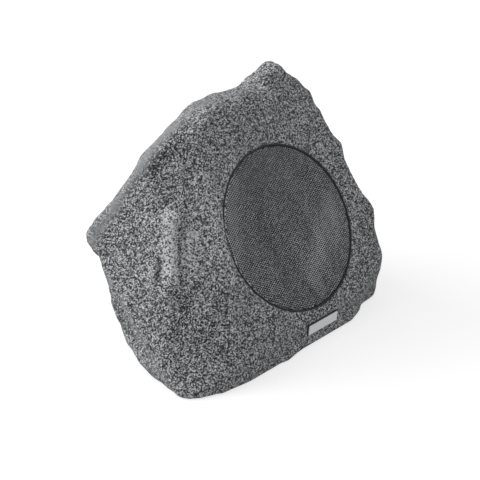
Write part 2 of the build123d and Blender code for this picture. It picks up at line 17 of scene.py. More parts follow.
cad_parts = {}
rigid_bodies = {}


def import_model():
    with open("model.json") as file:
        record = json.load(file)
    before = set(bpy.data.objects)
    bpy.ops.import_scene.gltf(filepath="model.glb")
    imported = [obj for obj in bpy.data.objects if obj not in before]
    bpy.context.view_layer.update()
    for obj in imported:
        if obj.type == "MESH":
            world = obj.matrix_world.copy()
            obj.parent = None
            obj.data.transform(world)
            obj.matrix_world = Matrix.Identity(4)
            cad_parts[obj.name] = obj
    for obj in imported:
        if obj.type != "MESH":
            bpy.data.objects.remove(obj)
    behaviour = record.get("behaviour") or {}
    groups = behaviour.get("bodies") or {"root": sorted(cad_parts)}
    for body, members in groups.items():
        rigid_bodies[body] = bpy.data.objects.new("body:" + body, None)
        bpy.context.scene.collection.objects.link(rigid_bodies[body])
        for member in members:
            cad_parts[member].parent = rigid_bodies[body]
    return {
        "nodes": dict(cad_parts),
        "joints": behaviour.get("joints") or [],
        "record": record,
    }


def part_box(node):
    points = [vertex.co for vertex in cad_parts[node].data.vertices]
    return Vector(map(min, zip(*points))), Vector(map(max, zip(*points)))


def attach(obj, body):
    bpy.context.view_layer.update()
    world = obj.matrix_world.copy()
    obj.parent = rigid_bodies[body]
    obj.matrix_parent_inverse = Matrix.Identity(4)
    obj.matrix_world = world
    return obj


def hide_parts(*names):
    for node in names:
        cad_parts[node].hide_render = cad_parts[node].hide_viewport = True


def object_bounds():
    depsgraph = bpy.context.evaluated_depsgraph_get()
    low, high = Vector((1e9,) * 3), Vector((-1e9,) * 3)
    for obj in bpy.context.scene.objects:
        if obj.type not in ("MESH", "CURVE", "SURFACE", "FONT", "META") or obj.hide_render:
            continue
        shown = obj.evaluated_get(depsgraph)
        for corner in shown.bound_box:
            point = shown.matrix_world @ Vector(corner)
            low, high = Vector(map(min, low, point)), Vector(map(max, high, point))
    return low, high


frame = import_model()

cad_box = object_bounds()
nodes = frame["nodes"]
print("loaded", len(nodes), "nodes")

# %% [markdown]
# ## Where things are
# The loudspeaker's axis is the axis of the one joint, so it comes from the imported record. The gasket is
# a plain ring, and the middle of its box lies on that axis. Half the ring's depth and the step down to
# it lead from there to the middle of the face that the grille is flush with.

# %% Axis and middle of the face
MM = 0.001
GASKET_DEPTH = 11 * MM
GASKET_STEP = 1 * MM

face_axis = Vector(frame["joints"][0]["axis"]).normalized()
gasket_low, gasket_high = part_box("grille_gasket")
face_middle = (gasket_low + gasket_high) / 2 + face_axis * (GASKET_DEPTH / 2 + GASKET_STEP)
face_up = Vector((0, face_axis.z, -face_axis.y))
face_turn = Matrix((Vector((1, 0, 0)), face_up, face_axis)).transposed()
face_place = Matrix.Translation(face_middle) @ face_turn.to_4x4()
print("face at", [round(value, 4) for value in face_middle])

# %% [markdown]
# ## Camera
# The photograph looks at the grille from its left and from above. A long lens keeps the edges of the
# boulder almost parallel. The middle of the grille lands on a known pixel of the square picture, so the
# camera is moved sideways by that much instead of being shifted or turned.

# %% Place the camera
PICTURE = 480
VIEW_AZIMUTH = radians(-47)
VIEW_ELEVATION = radians(27)
VIEW_DISTANCE = 1.5
FOCAL_PIXELS = 1395.3
GRILLE_PIXEL = (290, 227)

back = Vector((
    sin(VIEW_AZIMUTH) * cos(VIEW_ELEVATION),
    -cos(VIEW_AZIMUTH) * cos(VIEW_ELEVATION),
    sin(VIEW_ELEVATION),
))
right = Vector((cos(VIEW_AZIMUTH), sin(VIEW_AZIMUTH), 0))
up = back.cross(right)
aside = (GRILLE_PIXEL[0] - PICTURE / 2) / FOCAL_PIXELS * right
raised = (PICTURE / 2 - GRILLE_PIXEL[1]) / FOCAL_PIXELS * up

bpy.ops.object.select_all(action="DESELECT")
bpy.ops.object.camera_add()
camera = bpy.context.object
camera.name = "camera"
camera.location = face_middle + VIEW_DISTANCE * (back - aside - raised)
camera.rotation_euler = (radians(90) - VIEW_ELEVATION, 0, VIEW_AZIMUTH)
camera.data.lens = FOCAL_PIXELS / PICTURE * camera.data.sensor_width
bpy.context.scene.camera = camera
bpy.context.scene.view_settings.view_transform = "Standard"
print("lens", round(camera.data.lens, 1), "mm")

# %% [markdown]
# ## Hands
# An operator acts on all that is selected, so each step first picks exactly what it works on. These small
# helpers do the picking: one piece, or the corners, edges or faces of a piece that pass a test.

# %% Picking helpers
SAME_PLACE = 0.001 * MM
SOFT_EDGE = radians(40)


def alone(piece):
    """Select this piece and nothing else."""
    bpy.ops.object.select_all(action="DESELECT")
    piece.select_set(True)
    bpy.context.view_layer.objects.active = piece


def pick(piece, kind, wanted):
    """Select the corners, edges or faces that a test wants, and stay in edit mode."""
    bpy.ops.object.mode_set(mode="EDIT")
    bpy.ops.mesh.select_mode(type=kind)
    bpy.ops.mesh.select_all(action="DESELECT")
    bpy.ops.object.mode_set(mode="OBJECT")
    parts = {"VERT": piece.data.vertices, "EDGE": piece.data.edges, "FACE": piece.data.polygons}[kind]
    for part in parts:
        part.select = wanted(part)
    bpy.ops.object.mode_set(mode="EDIT")


def edge_middle(piece, edge):
    """Middle of an edge of a piece."""
    return sum((piece.data.vertices[index].co for index in edge.vertices), Vector()) / 2


def modify(piece, kind, **settings):
    """Add a modifier, set it and apply it."""
    alone(piece)
    modifier = piece.modifiers.new(kind.lower(), kind)
    for name, value in settings.items():
        setattr(modifier, name, value)
    bpy.ops.object.modifier_apply(modifier=modifier.name)


def mesh_copy(node, name):
    """A new piece with a merged copy of a node's mesh."""
    piece = bpy.data.objects.new(name, nodes[node].data.copy())
    bpy.context.collection.objects.link(piece)
    alone(piece)
    bpy.ops.object.mode_set(mode="EDIT")
    bpy.ops.mesh.select_all(action="SELECT")
    bpy.ops.mesh.remove_doubles(threshold=SAME_PLACE)
    bpy.ops.object.mode_set(mode="OBJECT")
    return piece


# %% [markdown]
# ## Boulder: its skin and its inside
# The boulder is moulded: its outside is worn and lumpy, and its inside has clean seats for the
# loudspeaker, the gland and the base plate. The two are worked apart. Every mouth of the inside meets the
# skin at a square edge, so the sharp edges become seams, and all that is linked to the highest
# face without crossing a seam is the skin.

# %% Part the skin from the inside
SQUARE_EDGE = radians(75)

boulder = mesh_copy("rock_shell", "boulder")
bpy.ops.object.mode_set(mode="EDIT")
bpy.ops.mesh.select_mode(type="EDGE")
bpy.ops.mesh.select_all(action="DESELECT")
bpy.ops.mesh.edges_select_sharp(sharpness=SQUARE_EDGE)
bpy.ops.mesh.mark_seam(clear=False)
bpy.ops.object.mode_set(mode="OBJECT")
highest = max(boulder.data.polygons, key=lambda face: face.center.z).index
pick(boulder, "FACE", lambda face: face.index == highest)
bpy.ops.mesh.select_linked(delimit={"SEAM"})
bpy.ops.mesh.select_all(action="INVERT")
bpy.ops.mesh.separate(type="SELECTED")
bpy.ops.object.mode_set(mode="OBJECT")
inside = next(piece for piece in bpy.context.selected_objects if piece != boulder)
inside.name = "inside"
print("skin", len(boulder.data.polygons), "faces, inside", len(inside.data.polygons))

# %% [markdown]
# ## Boulder: from facets to worn stone
# The skin's three mouths are filled, and a voxel remesh turns the facets into an even net of small
# quads, which can be smoothed and sculpted. The ring of stone round the grille and the foot stay as
# they are, because other pieces seat there, and so does the back round the gland. A vertex group says how
# freely each corner may move, and a second one marks the back and the right side.

# %% Close, remesh and smooth the skin
VOXEL = 1.9 * MM
SEAT_RADIUS = 98 * MM
SEAT_FADE = 22 * MM
FOOT_HEIGHT = 2 * MM
FOOT_FADE = 12 * MM
GLAND_SEAT = 15 * MM
GLAND_FADE = 15 * MM
BACK_START = 80 * MM
SIDE_START = 110 * MM
SIDE_FOOT = Vector((160, -90, 50)) * MM
SIDE_TOP = Vector((106, 33, 257)) * MM
REAR_FOOT = 22 * MM
REAR_FADE = 20 * MM
WORN_PASSES = 26
WORN_FACTOR = 0.5

mounts = {mount["name"]: mount for mount in frame["record"]["mounts"]}
gland_axis = Vector(mounts["cable_entry"]["axis"])
gland_low, gland_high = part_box("gland_washer")
gland_middle = (gland_low + gland_high) / 2


def fade(distance, width):
    """From 0 to 1 over a width, with a soft start and end."""
    share = min(max(distance / width, 0), 1)
    return share * share * (3 - 2 * share)


def freedom(point):
    """How freely a corner of the skin may move: not at the grille's seat, the gland's seat and the foot."""
    local = face_place.inverted() @ point
    near_seat = fade(hypot(local.x, local.y) - SEAT_RADIUS, SEAT_FADE)
    off_face = fade(-local.z - FOOT_FADE, SEAT_FADE)
    off_gland = fade((point - gland_middle).length - GLAND_SEAT, GLAND_FADE)
    return max(near_seat, off_face) * off_gland * fade(point.z - FOOT_HEIGHT, FOOT_FADE)


def rearness(point):
    """How far a corner lies on the back, or on the right side behind its front edge, above the foot."""
    height = (point.z - SIDE_FOOT.z) / (SIDE_TOP.z - SIDE_FOOT.z)
    front_edge = SIDE_FOOT.y + height * (SIDE_TOP.y - SIDE_FOOT.y)
    on_side = fade(point.x - SIDE_START, REAR_FADE) * fade(point.y - front_edge - REAR_FADE, REAR_FADE)
    return max(fade(point.y - BACK_START, REAR_FADE), on_side) * fade(point.z - REAR_FOOT, REAR_FADE)


alone(boulder)
bpy.ops.object.mode_set(mode="EDIT")
bpy.ops.mesh.select_all(action="SELECT")
bpy.ops.mesh.fill_holes(sides=0)
bpy.ops.object.mode_set(mode="OBJECT")
modify(boulder, "REMESH", mode="VOXEL", voxel_size=VOXEL)
loose = boulder.vertex_groups.new(name="loose")
rear = boulder.vertex_groups.new(name="rear")
for corner in boulder.data.vertices:
    free = freedom(corner.co)
    loose.add([corner.index], free, "REPLACE")
    rear.add([corner.index], free * rearness(corner.co), "REPLACE")
modify(boulder, "SMOOTH", factor=WORN_FACTOR, iterations=WORN_PASSES, vertex_group="loose")
print("net of", len(boulder.data.polygons), "quads")

# %% [markdown]
# ## Boulder: ridges and hollows
# Some forms of the stone are single ones: a horn on the left, knuckles down the right edge, a notched crown
# and a ridge down the front. Each is pulled one by one: the corners of the net along a short line are
# grabbed and moved, and proportional editing takes their surroundings along, less and less up to a reach.

# %% Pull ridges and push hollows
GRABS = (
    ("left horn", (-143, 66, 126), (-137, 70, 132), (-6, 5, -3), 24, "LINEAR"),
    ("above the horn", (-131, 71, 144), (-122, 74, 152), (-1, 1, 1), 14, "SMOOTH"),
    ("under the horn", (-150, 52, 102), (-152, 44, 92), (4, -3, 2), 18, "SMOOTH"),
    ("left hip", (-150, 36, 62), (-150, 28, 48), (-2, 1, 0), 13, "SMOOTH"),
    ("left flank", (-145, 3, 16), (-145, 8, 20), (-4, 2, 0), 30, "SMOOTH"),
    ("left heel", (-150, -22, 8), (-150, -14, 8), (-4, 2, 0), 24, "SMOOTH"),
    ("left foot", (-162, -67, 2), (-162, -67, 2), (2, 1, 0), 16, "SMOOTH"),
    ("corner of the foot", (-150, -82, 2), (-146, -86, 2), (-3, -4, 0), 24, "SMOOTH"),
    ("front foot", (-85, -102, 2), (-45, -102, 2), (0, -5, 0), 44, "SMOOTH"),
    ("foot below the badge", (-30, -105, 2), (100, -103, 2), (0, -3, 0), 16, "SMOOTH"),
    ("right foot", (147, -86, 33), (147, -60, 33), (2, -3, -1), 30, "SMOOTH"),
    ("right heel", (135, -85, 4), (140, -70, 4), (3, -4, 0), 24, "SMOOTH"),
    ("lower knuckle", (154, -64, 96), (157, -25, 88), (4, -3, 1), 20, "LINEAR"),
    ("waist", (150, -46, 130), (156, 0, 126), (-2, 1, -1), 16, "SMOOTH"),
    ("upper knuckle", (145, -22, 168), (150, 15, 160), (4, -3, 2), 18, "LINEAR"),
    ("crown side", (136, -2, 204), (140, 40, 196), (2, -1, 1), 14, "LINEAR"),
    ("side of the crown", (140, -10, 190), (145, 30, 184), (2, -1, 1), 14, "LINEAR"),
    ("crown slope", (128, 12, 225), (132, 42, 220), (3, -2, 2), 16, "LINEAR"),
    ("crown knuckle", (120, 22, 240), (120, 45, 238), (3, -2, 2), 14, "LINEAR"),
    ("crown peak", (108, 32, 256), (104, 48, 258), (2, -1, 2), 14, "LINEAR"),
    ("crown flank", (66, 66, 243), (95, 56, 259), (1, -1, -4), 16, "SMOOTH"),
    ("notch", (93, 55, 255), (93, 70, 250), (1, -2, -3), 15, "SMOOTH"),
    ("saddle", (50, 56, 242), (50, 75, 238), (0, -4, -4), 24, "SMOOTH"),
    ("left shoulder", (-77, 57, 203), (-72, 80, 196), (-1, 2, 1), 17, "LINEAR"),
    ("shoulder dip", (-43, 60, 223), (-40, 76, 216), (1, -4, -3), 26, "SMOOTH"),
    ("front ridge", (-98, -6, 153), (-125, -32, 100), (-3, -3, 3), 24, "SMOOTH"),
    ("cliff of the ridge", (-93, -12, 149), (-117, -35, 98), (3, 3, -2), 10, "SMOOTH"),
    ("small fold", (-129, -7, 115), (-137, -12, 100), (-2, -3, 2), 11, "SMOOTH"),
    ("crease beside it", (-122, -10, 117), (-131, -15, 104), (2, 2, -2), 7, "SMOOTH"),
    ("dent below the ridge", (-124, -41, 86), (-122, -46, 78), (2, 2, -2), 14, "SMOOTH"),
    ("belly", (-113, -43, 92), (-100, -62, 85), (-3, -3, 2), 34, "SMOOTH"),
    ("lip beside the grille", (-61, -34, 152), (-69, -56, 115), (0, -2, 1), 12, "SMOOTH"),
    ("back ridge", (-75, 98, 40), (-15, 98, 150), (0, 5, 1), 32, "SMOOTH"),
    ("back hollow", (25, 98, 110), (55, 96, 175), (0, -3, 0), 36, "SMOOTH"),
    ("side ridge", (156, 45, 40), (140, 62, 150), (5, 3, 0), 26, "SMOOTH"),
    ("side hollow", (156, -10, 50), (152, 25, 95), (-3, 0, 0), 26, "SMOOTH"),
)


def grab(piece, start, end, push, reach, falloff):
    """Move the corners next to a line, and their surroundings with them."""
    corners = KDTree(len(piece.data.vertices))
    for corner in piece.data.vertices:
        corners.insert(corner.co, corner.index)
    corners.balance()
    steps = max(round((end - start).length / VOXEL), 1)
    grabbed = {corners.find(start.lerp(end, step / steps))[1] for step in range(steps + 1)}
    pick(piece, "VERT", lambda corner: corner.index in grabbed)
    bpy.ops.transform.translate(
        value=push,
        use_proportional_edit=True,
        proportional_edit_falloff=falloff,
        proportional_size=reach,
    )
    bpy.ops.object.mode_set(mode="OBJECT")


alone(boulder)
for form, start, end, push, reach, falloff in GRABS:
    grab(boulder, Vector(start) * MM, Vector(end) * MM, Vector(push) * MM, reach * MM, falloff)
print("pulled", len(GRABS), "forms")

# %% [markdown]
# ## Boulder: lumps
# A moulded rock is taken from a real one, so its sides swell and dip. Displace modifiers push the net
# along its normals by soft clouds, from hand-sized swellings down to the rough skin. The back and the
# right side get larger humps, because no single forms are pulled there.

# %% Swellings, dents and rough skin
LUMPS = (
    ("hump", 55 * MM, 16 * MM, "rear"),
    ("knob", 26 * MM, 6 * MM, "rear"),
    ("swelling", 60 * MM, 3 * MM, "loose"),
    ("dent", 22 * MM, 1.8 * MM, "loose"),
    ("rough", 6 * MM, 0.9 * MM, "loose"),
)
MEAN_CLOUD = 0.45

for lump, size, height, where in LUMPS:
    clouds = bpy.data.textures.new(lump, "CLOUDS")
    clouds.noise_scale = size
    clouds.noise_depth = 1
    modify(
        boulder,
        "DISPLACE",
        texture=clouds,
        texture_coords="LOCAL",
        strength=height,
        mid_level=MEAN_CLOUD,
        vertex_group=where,
    )
print("boulder", [round(size / MM) for size in boulder.dimensions], "mm")

# %% [markdown]
# ## Boulder: close the inside
# The inside is open at three mouths. Each mouth's edge is drawn on past the skin and closed, which makes
# the inside a solid that a Boolean can cut out of the boulder. The mouth of the grille's seat first
# flares in two small steps, so the cut leaves a rounded lip there.

# %% Find a mouth
ON_PLANE = 0.5 * MM
AT_GLAND = 2 * MM


def on_face(edge):
    """Whether an edge lies on the plane of the face."""
    return abs((edge_middle(inside, edge) - face_middle).dot(face_axis)) < ON_PLANE


def on_ground(edge):
    """Whether an edge lies on the ground."""
    return edge_middle(inside, edge).z < ON_PLANE


def at_gland(edge):
    """Whether an edge lies at the gland's outer mouth."""
    return abs((edge_middle(inside, edge) - gland_middle).dot(gland_axis)) < AT_GLAND


def open_edges(piece):
    """Numbers of the edges with a face on one side only."""
    bpy.ops.object.mode_set(mode="EDIT")
    bpy.ops.mesh.select_mode(type="EDGE")
    bpy.ops.mesh.select_all(action="DESELECT")
    bpy.ops.mesh.select_non_manifold()
    bpy.ops.object.mode_set(mode="OBJECT")
    return {edge.index for edge in piece.data.edges if edge.select}


# %% Close the mouths
REACH = 20 * MM
LIP = ((0.9 * MM, 0), (0.25 * MM, 0.25 * MM), (0, 0.9 * MM), (-REACH, 2 * MM))
SEAT_WALL = 92 * MM


def close_mouth(here, steps, axis):
    """Draw the open edges of one mouth on along an axis, in steps of depth and flare, and close them."""
    rim = open_edges(inside)
    pick(inside, "EDGE", lambda edge: edge.index in rim and here(edge))
    last_depth, last_flare = 0, 0
    for number, (depth, flare) in enumerate(steps):
        if number or depth < last_depth:
            bpy.ops.mesh.extrude_region()
        bpy.ops.transform.translate(value=axis * (last_depth - depth))
        grow = (SEAT_WALL + flare) / (SEAT_WALL + last_flare)
        bpy.ops.transform.resize(value=(grow, grow, grow), center_override=face_middle - axis * depth)
        last_depth, last_flare = depth, flare
    bpy.ops.mesh.edge_face_add()
    bpy.ops.object.mode_set(mode="OBJECT")


alone(inside)
close_mouth(on_face, LIP, face_axis)
close_mouth(on_ground, ((-REACH, 0),), Vector((0, 0, -1)))
close_mouth(at_gland, ((-REACH, 0),), gland_axis)
bpy.ops.object.mode_set(mode="EDIT")
bpy.ops.mesh.select_all(action="SELECT")
bpy.ops.mesh.normals_make_consistent(inside=False)
bpy.ops.object.mode_set(mode="OBJECT")
print("open edges left on the inside:", len(open_edges(inside)))

# %% [markdown]
# ## Boulder: keep the wall whole and cut
# Corners of the skin that a hollow brought too near to the inside are pushed out again, away from the
# nearest place on the inside. The sign of that distance can be trusted only where it runs straight off a
# face, or where the corner lies outside. The foot, with its flange and bosses, is left alone. Then
# the inside is cut out.

# %% Push thin places out
LEAST_WALL = 3.2 * MM
WALL_FOOT = 30 * MM
STRAIGHT = 0.9
HELD = 0.6

pushed = 0
for corner in boulder.data.vertices:
    if corner.co.z < WALL_FOOT or freedom(corner.co) < HELD:
        continue
    _, spot, outward, _ = inside.closest_point_on_mesh(corner.co)
    gap = corner.co - spot
    wall = gap.dot(outward)
    if wall < LEAST_WALL and abs(wall) > STRAIGHT * gap.length:
        corner.co = spot + outward * LEAST_WALL
        pushed += 1
    elif wall > 0 and gap.length < LEAST_WALL:
        corner.co = spot + gap.normalized() * LEAST_WALL
        pushed += 1
print("corners pushed out to keep the wall whole:", pushed)

# %% Cut out the inside
modify(boulder, "BOOLEAN", operation="DIFFERENCE", object=inside, solver="EXACT")
bpy.data.objects.remove(inside)
print("boulder", len(boulder.data.polygons), "faces")

alone(boulder)
bpy.ops.object.shade_smooth_by_angle(angle=SOFT_EDGE)
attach(boulder, "enclosure")
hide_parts("rock_shell")

# %% [markdown]
# ## Boulder: painted light, shade and wear
# Where the stone stands out its coat is painted paler, as a painted highlight that on the front ridge is
# partly real wear, and in creases, dents, under the horn, on the right edge and towards the foot it is
# painted darker, as painted shade. This is painted on the corners of the net, as with a brush: each stroke
# is a line with a reach, and an attribute keeps how much paler or darker the coat is there, for the
# granite finish to read. A second attribute marks the upper left edge, where the grains are mixed in
# patches to one plain grey, so the coat looks smooth.

# %% Paint the strokes
# Painted highlight and shade: pale strokes where the stone stands out (on the front ridge partly real wear),
# dark strokes in creases, dents, under the horn, on the right edge and towards the foot.
LIGHT_AND_WEAR_STROKES = (
    ("front ridge", (-98, -2, 157), (-121, -24, 114), 17, 1.2),
    ("end of the ridge", (-125, -24, 112), (-127, -26, 108), 8, -0.25),
    ("cliff of the ridge", (-96, -9, 150), (-120, -33, 100), 5, -0.8),
    ("small fold", (-131, -8, 114), (-139, -12, 100), 8, 0.35),
    ("crease beside it", (-123, -10, 117), (-132, -14, 104), 5, -0.6),
    ("dent below the ridge", (-124, -41, 88), (-122, -46, 78), 12, -0.35),
    ("beside the ridge", (-88, -23, 142), (-101, -33, 117), 14, 0.5),
    ("beside the grille", (-46, -14, 189), (-80, -42, 129), 26, 0.28),
    ("below the ridge", (-112, -44, 90), (-118, -48, 80), 18, -0.2),
    ("above the foot", (-134, -57, 56), (-111, -90, 41), 28, -0.25),
    ("left heel", (-152, 6, 40), (-152, 26, 66), 22, -0.4),
    ("right edge", (147, -69, 95), (123, -96, 44), 30, -0.14),
    ("inside of the upper edge", (-94, 30, 197), (-40, 30, 233), 13, -0.65),
    ("under the horn", (-145, 46, 122), (-146, 42, 117), 10, -0.35),
    ("upper margin of the grille", (-14, -10, 196), (-34, -22, 174), 12, 0.4),
    ("lower margin of the grille", (-68, -52, 125), (-72, -68, 100), 12, 0.4),
    ("front of the foot", (-118, -69, 59), (-105, -75, 62), 18, -0.2),
    ("right knuckle", (153, -69, 97), (155, -66, 101), 10, -0.4),
    ("flank of the crown", (40, 22, 244), (76, 34, 250), 14, -0.3),
)
# Strokes along the upper left edge, where the grains are mixed to one plain grey.
PLAIN_EDGE_STROKES = (
    ("horn", (-153, 64, 129), (-128, 53, 163), 14, 1),
    ("left upper edge", (-128, 53, 163), (-99, 43, 205), 12, 1),
    ("left shoulder", (-99, 43, 205), (-50, 46, 233), 16, 1),
    ("upper edge", (-50, 46, 233), (0, 39, 250), 14, 0.8),
)


def off_line(point, start, end):
    """Distance of a point from a line between two places."""
    line = end - start
    share = (point - start).dot(line) / line.length_squared
    return (point - start - min(max(share, 0), 1) * line).length


def paint(piece, layer, strokes):
    """Add strokes to a layer of a piece: a line, a reach and a tone each."""
    painted = piece.data.attributes.new(layer, "FLOAT", "POINT")
    for stroke, start, end, reach, tone in strokes:
        start, end, reach = Vector(start) * MM, Vector(end) * MM, reach * MM
        for corner in piece.data.vertices:
            distance = off_line(corner.co, start, end)
            if distance < reach:
                painted.data[corner.index].value += tone * (1 - fade(distance, reach))
    print("painted", len(strokes), "strokes on", piece.name)


# Painted highlight and shade on the boulder, partly wear on the front ridge.
paint(boulder, "painted_light_and_wear", LIGHT_AND_WEAR_STROKES)
paint(boulder, "plain_edge", PLAIN_EDGE_STROKES)

# %% [markdown]
# ## Grille: one cell
# The grille is a steel sheet, punched with thousands of small staggered holes and pressed into a shallow
# cap. Staggered holes repeat on a honeycomb, so one six-sided cell with one hole in it is modelled and
# then repeated. Cutting the holes out of a disc one by one would be far slower.

# %% Model one cell of the sheet
HOLE_PITCH = 2.62 * MM
HOLE_WIDTH = 2.25 * MM
CELL_CORNERS = 6
HALF_CORNER = pi / CELL_CORNERS
CELL_RADIUS = HOLE_PITCH / 2 / cos(HALF_CORNER)
ROW_STEP = HOLE_PITCH * cos(HALF_CORNER)

bpy.ops.object.select_all(action="DESELECT")
bpy.ops.mesh.primitive_circle_add(vertices=CELL_CORNERS, radius=CELL_RADIUS, fill_type="NGON")
sheet = bpy.context.object
sheet.name = "perforated_grille"
bpy.ops.object.mode_set(mode="EDIT")
bpy.ops.mesh.select_all(action="SELECT")
bpy.ops.mesh.inset(thickness=(HOLE_PITCH - HOLE_WIDTH) / 2)
bpy.ops.mesh.delete(type="FACE")
bpy.ops.object.mode_set(mode="OBJECT")
print("one cell of", len(sheet.data.polygons), "faces")

# %% [markdown]
# ## Grille: the punched sheet
# One Array modifier repeats the cell along a row, and a second one repeats the row with half a step
# aside. The rows lean away to one side, so they are long enough for the disc to lie in their middle.
# The cells outside the disc are deleted whole, and the ragged edge is drawn out to a true circle.

# %% Repeat the cell and trim the sheet to a disc
FLAT_RADIUS = 87.8 * MM
SHOULDER = 1.5 * MM
DISC_RADIUS = FLAT_RADIUS + SHOULDER * pi / 2
ROWS = 2 * int(DISC_RADIUS / ROW_STEP) + 3
COLUMNS = 2 * int(DISC_RADIUS / HOLE_PITCH) + ROWS // 2 + 3
SAME_CORNER = 0.01 * MM

for count, step in ((COLUMNS, (HOLE_PITCH, 0, 0)), (ROWS, (HOLE_PITCH / 2, ROW_STEP, 0))):
    modify(
        sheet,
        "ARRAY",
        count=count,
        use_relative_offset=False,
        use_constant_offset=True,
        constant_offset_displace=step,
        use_merge_vertices=True,
        merge_threshold=SAME_CORNER,
    )
middle_row = ROWS // 2
middle_column = COLUMNS // 2
sheet.location = (-middle_column * HOLE_PITCH - middle_row * HOLE_PITCH / 2, -middle_row * ROW_STEP, 0)
alone(sheet)
bpy.ops.object.transform_apply(location=True)


def hole_middle(point):
    """Middle of the hole whose cell a point lies in."""
    row = round(point.y / ROW_STEP)
    column = round((point.x - row * HOLE_PITCH / 2) / HOLE_PITCH)
    return Vector((column * HOLE_PITCH + row * HOLE_PITCH / 2, row * ROW_STEP, 0))


pick(sheet, "FACE", lambda face: hole_middle(face.center).length > DISC_RADIUS - HOLE_PITCH / 2)
bpy.ops.mesh.delete(type="FACE")
bpy.ops.object.mode_set(mode="OBJECT")
rim_corners = {
    index
    for edge in open_edges(sheet)
    for index in sheet.data.edges[edge].vertices
    if sheet.data.vertices[index].co.length > FLAT_RADIUS
    and (sheet.data.vertices[index].co - hole_middle(edge_middle(sheet, sheet.data.edges[edge]))).length
    > HOLE_PITCH / 2
}
for index in rim_corners:
    corner = sheet.data.vertices[index]
    corner.co *= DISC_RADIUS / corner.co.length
print("disc with", len(sheet.data.polygons) // CELL_CORNERS, "holes")

# %% [markdown]
# ## Grille: pressed into a cap
# The press bends the disc's edge over a shoulder. Bending keeps lengths, so the distance from the middle
# becomes an arc along the shoulder, which is a formula for each corner. The rim is then extruded
# back, and a Solidify modifier gives the sheet its thickness towards the inside. The hole walls, the rim
# and the back take a second slot, black as painted shade in the holes. The coat on the front is painted
# with strokes like the stone: paler and darker bands of painted light and shade.

# %% Press the shoulder, extrude the rim and thicken
SHEET = 1.2 * MM
RIM_DEPTH = 10 * MM
SHEET_TURN = radians(86)
SHEET_EDGE = radians(35)

for corner in sheet.data.vertices:
    bend = (corner.co.length - FLAT_RADIUS) / SHOULDER
    if bend > 0:
        outward = corner.co.normalized()
        reach = FLAT_RADIUS + SHOULDER * sin(bend)
        drop = SHOULDER * (1 - cos(bend))
        corner.co = outward * reach - Vector((0, 0, drop))
pick(sheet, "EDGE", lambda edge: all(index in rim_corners for index in edge.vertices))
bpy.ops.mesh.extrude_region()
bpy.ops.transform.translate(value=(0, 0, SHOULDER - RIM_DEPTH))
bpy.ops.object.mode_set(mode="OBJECT")
# Slot 1 takes the hole walls, the rim and the back, dressed black later as painted shade in the holes; the
# real walls carry the coat.
for slot in ("coat", "shaded_hole_walls"):
    sheet.data.materials.append(bpy.data.materials.new(slot))
modify(sheet, "SOLIDIFY", thickness=SHEET, offset=-1, material_offset=1, material_offset_rim=1)
sheet.matrix_world = face_place @ Matrix.Rotation(SHEET_TURN, 4, "Z")
alone(sheet)
bpy.ops.object.transform_apply(location=True, rotation=True, scale=True)
bpy.ops.object.shade_smooth_by_angle(angle=SHEET_EDGE)
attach(sheet, "enclosure")
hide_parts("grille")
print("grille", len(sheet.data.polygons), "faces")

# %% Paint the sheet
# Painted light and shade on the grille: paler margins and a pale band, and a dark band.
GRILLE_LIGHT_STROKES = (
    ("left margin", (-26, -21, 176), (-44, -35, 152), 16, 1.4),
    ("lower left margin", (-44, -35, 152), (-57, -55, 117), 16, 1.4),
    ("dark band", (8, -22, 174), (-8, -50, 126), 26, -0.5),
    ("pale band", (98, -52, 122), (36, -84, 66), 20, 1.5),
    ("right margin", (98, -59, 109), (82, -76, 82), 13, 1.2),
)
# Painted light and shade on the grille's coat.
paint(sheet, "painted_light_and_wear", GRILLE_LIGHT_STROKES)

# %% [markdown]
# ## Grille: the black ring
# The grille sits in a rubber gasket, and what shows of it is a thin round black bead between the sheet and
# the
# stone: partly the real gasket and partly painted shade, for the shadow gap round the grille. The gasket's
# own mesh is kept, and a torus joined to it is the bead.

# %% Add the shadow bead to the gasket
SHADOW_BEAD_RADIUS = 90.95 * MM
SHADOW_BEAD_HALF = 0.95 * MM
SHADOW_BEAD_DEPTH = 0.7 * MM
SHADOW_BEAD_SEGMENTS = 144
SHADOW_BEAD_SIDES = 12

ring = mesh_copy("grille_gasket", "gasket_and_shadow_bead")
# The bead: partly the real gasket, partly painted shade for the shadow gap round the grille.
bpy.ops.mesh.primitive_torus_add(
    major_radius=SHADOW_BEAD_RADIUS,
    minor_radius=SHADOW_BEAD_HALF,
    major_segments=SHADOW_BEAD_SEGMENTS,
    minor_segments=SHADOW_BEAD_SIDES,
)
shadow_bead = bpy.context.object
shadow_bead.matrix_world = face_place @ Matrix.Translation((0, 0, -SHADOW_BEAD_DEPTH))
alone(shadow_bead)
bpy.ops.object.transform_apply(location=True, rotation=True, scale=True)
ring.select_set(True)
bpy.context.view_layer.objects.active = ring
bpy.ops.object.join()
bpy.ops.object.shade_smooth_by_angle(angle=SOFT_EDGE)
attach(ring, "enclosure")
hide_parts("grille_gasket")
print("ring", len(ring.data.polygons), "faces")

# %% [markdown]
# ## Surround: a lip that travels with the cone
# The rubber surround carries the cone's edge: its inner lip is glued to the cone and travels with it, while
# its roll stays with the basket. So the ring is split where the roll starts, both cuts are closed, and
# the lip is made a little smaller to pass the roll.

# %% Split the surround
LIP_WIDTH = 2.7 * MM
LIP_ROOM = 0.15 * MM


def off_axis(point):
    """Distance of a point from the loudspeaker's axis."""
    local = face_place.inverted() @ point
    return hypot(local.x, local.y)


